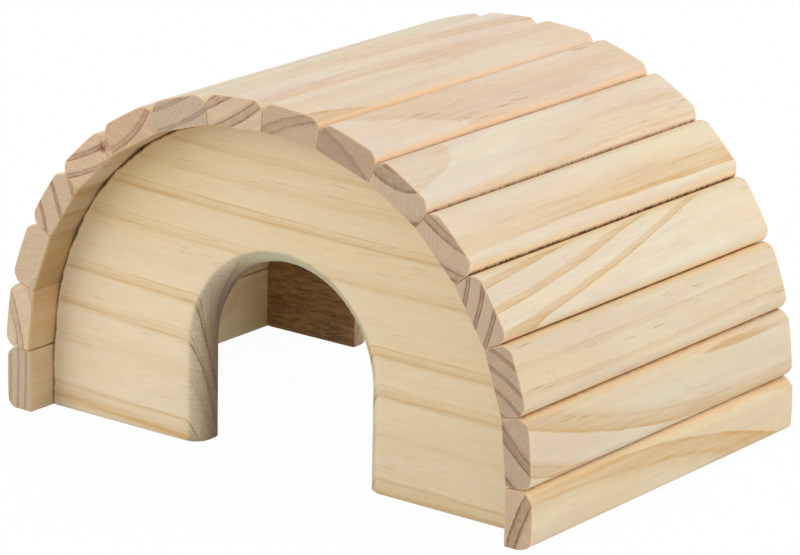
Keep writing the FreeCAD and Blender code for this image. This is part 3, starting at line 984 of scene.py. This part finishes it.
class HIDEOUT_OT_panels(bpy.types.Operator):
    """Build the two arched end panels"""
    bl_idname = "hideout.panels"
    bl_label = "End panels"

    def execute(self, context):
        scene = context.scene
        slats, panel, colours = scene.hideout_slats, scene.hideout_panels, scene.hideout_wood
        timber = Timber(ALONG_X, 0.5, 0.3, 1.0, 0.65, (colours.honey, colours.honey, colours.corn),
                        colours.amber)
        material = wood_material("arched_board_pine", timber, colours)
        radius = panel.door_width / 2
        make_panel(FRONT_BOARD, radius, panel.door_height - radius, slats, panel, material)
        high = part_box(BACK_BOARD.node)[1]
        radius = high.x - panel.back_rim
        make_panel(BACK_BOARD, radius, high.z - panel.back_rim - radius, slats, panel, material)
        return {"FINISHED"}


class HIDEOUT_OT_stage(bpy.types.Operator):
    """Add the floor, the lamps and the camera"""
    bl_idname = "hideout.stage"
    bl_label = "Stage"

    def execute(self, context):
        light = context.scene.hideout_light
        make_floor(light)
        make_sky(light)
        make_lamps(light)
        make_camera()
        context.scene.view_settings.view_transform = "Standard"
        return {"FINISHED"}


# ---------------- stage

WHITE = (1, 1, 1, 1)
# the floor lies just under the feet, so that the two don't flicker
FLOOR_RADIUS, FLOOR_HEIGHT = 4.0, -0.05 * MM
LAMP_WIDTH = 1.2
LAMPS_AIM = Vector((0, 0, 0.05))
LAMP_PLACES = {"overhead": (-0.1, 0.1, 1.35), "front": (-0.75, -0.8, 0.42),
               "right": (1.0, 0.35, 0.65), "behind": (0.4, 1.15, 0.4)}

# The camera: how far round to the right of the doorway and how far up it stands, how far it is
# turned about its own line of sight, and what it looks at from how far away.
CAMERA_ROUND, CAMERA_UP, CAMERA_ROLL = math.radians(36.965), math.radians(16.937), math.radians(1.09)
CAMERA_AIM = Vector((-0.00376, 0.00525, 0.04429))
CAMERA_DISTANCE = 1.2986
CAMERA_LENS, CAMERA_SENSOR = 188.62, 36.0


def seen_white(bench):
    """1 for what the camera sees directly, in a reflection or through glass."""
    kinds = ("Is Camera Ray", "Is Glossy Ray", "Is Transmission Ray")
    camera, glossy, through = [bench.node("ShaderNodeLightPath", out=kind) for kind in kinds]
    return camera.math("MAXIMUM", camera, camera.math("MAXIMUM", glossy, through))


def make_floor(light):
    build = bmesh.new()
    bmesh.ops.create_circle(build, cap_ends=True, segments=96, radius=FLOOR_RADIUS)
    mesh = bpy.data.meshes.new("floor")
    build.to_mesh(mesh)
    build.free()
    floor = added("floor", mesh)
    floor.location.z = FLOOR_HEIGHT
    material = bpy.data.materials.new("pale_floor")
    bench = Bench(material)
    plain = bench.node("ShaderNodeBsdfDiffuse", None, {"Color": rgba(light.floor_colour)})
    white = bench.node("ShaderNodeEmission", None, {"Color": WHITE, "Strength": 1.0})
    seen = seen_white(bench) * (1 - light.shadow)
    both = bench.node("ShaderNodeMixShader", None, {0: seen, 1: plain, 2: white})
    bench.node("ShaderNodeOutputMaterial", None, {"Surface": both})
    mesh.materials.append(material)


def make_sky(light):
    world = bpy.data.worlds.new("studio")
    bench = Bench(world)
    even = bench.node("ShaderNodeBackground", None, {"Color": WHITE, "Strength": light.sky})
    white = bench.node("ShaderNodeBackground", None, {"Color": WHITE, "Strength": 1.0})
    both = bench.node("ShaderNodeMixShader", None, {0: seen_white(bench), 1: even, 2: white})
    bench.node("ShaderNodeOutputWorld", None, {"Surface": both})
    bpy.context.scene.world = world


def make_lamps(light):
    for name, place in LAMP_PLACES.items():
        lamp = bpy.data.lights.new(name, "AREA")
        lamp.shape = "DISK"
        lamp.size = LAMP_WIDTH
        lamp.energy = getattr(light, name)
        holder = added(name, lamp)
        holder.location = place
        holder.rotation_euler = (LAMPS_AIM - Vector(place)).to_track_quat("-Z", "Y").to_euler()


def make_camera():
    """The camera stands to the right of the front doorway and looks a little down."""
    level = math.cos(CAMERA_UP)
    back = Vector((math.sin(CAMERA_ROUND) * level, -math.cos(CAMERA_ROUND) * level,
                   math.sin(CAMERA_UP)))
    right = (-back).cross(Vector((0, 0, 1))).normalized()
    up = right.cross(-back)
    side = right * math.cos(CAMERA_ROLL) + up * math.sin(CAMERA_ROLL)
    top = up * math.cos(CAMERA_ROLL) - right * math.sin(CAMERA_ROLL)
    data = bpy.data.cameras.new("camera")
    data.sensor_width = CAMERA_SENSOR
    data.lens = CAMERA_LENS
    data.clip_start = 0.05
    camera = added("camera", data)
    turn = Matrix((side, top, back)).transposed().to_4x4()
    camera.matrix_world = Matrix.Translation(CAMERA_AIM + back * CAMERA_DISTANCE) @ turn
    bpy.context.scene.camera = camera


class HIDEOUT_PT_house(bpy.types.Panel):
    """Sizes, colours and buttons of the hideout"""
    bl_idname = "HIDEOUT_PT_house"
    bl_label = "Pine hideout"
    bl_space_type = "VIEW_3D"
    bl_region_type = "UI"
    bl_category = "Hideout"

    def draw(self, context):
        for name, (kind, operator) in GROUPS.items():
            box = self.layout.box()
            for key in kind.__annotations__:
                box.prop(getattr(context.scene, name), key)
            if operator:
                box.operator(operator.bl_idname)


# each group of settings, and the operator that its box ends with
GROUPS = {
    "hideout_slats": (SlatSizes, HIDEOUT_OT_slats),
    "hideout_panels": (PanelSizes, HIDEOUT_OT_panels),
    "hideout_wood": (WoodColours, None),
    "hideout_light": (StageLight, HIDEOUT_OT_stage),
}
CLASSES = (SlatSizes, PanelSizes, WoodColours, StageLight, HIDEOUT_OT_slats, HIDEOUT_OT_panels,
           HIDEOUT_OT_stage, HIDEOUT_PT_house)


def register():
    for kind in CLASSES:
        bpy.utils.register_class(kind)
    for name, (group, operator) in GROUPS.items():
        setattr(bpy.types.Scene, name, PointerProperty(type=group))


def unregister():
    for name in GROUPS:
        delattr(bpy.types.Scene, name)
    for kind in reversed(CLASSES):
        bpy.utils.unregister_class(kind)


def main():
    register()
    bpy.ops.hideout.slats()
    bpy.ops.hideout.panels()
    bpy.ops.hideout.stage()
    bpy.context.view_layer.update()


if __name__ == "__main__":
    main()
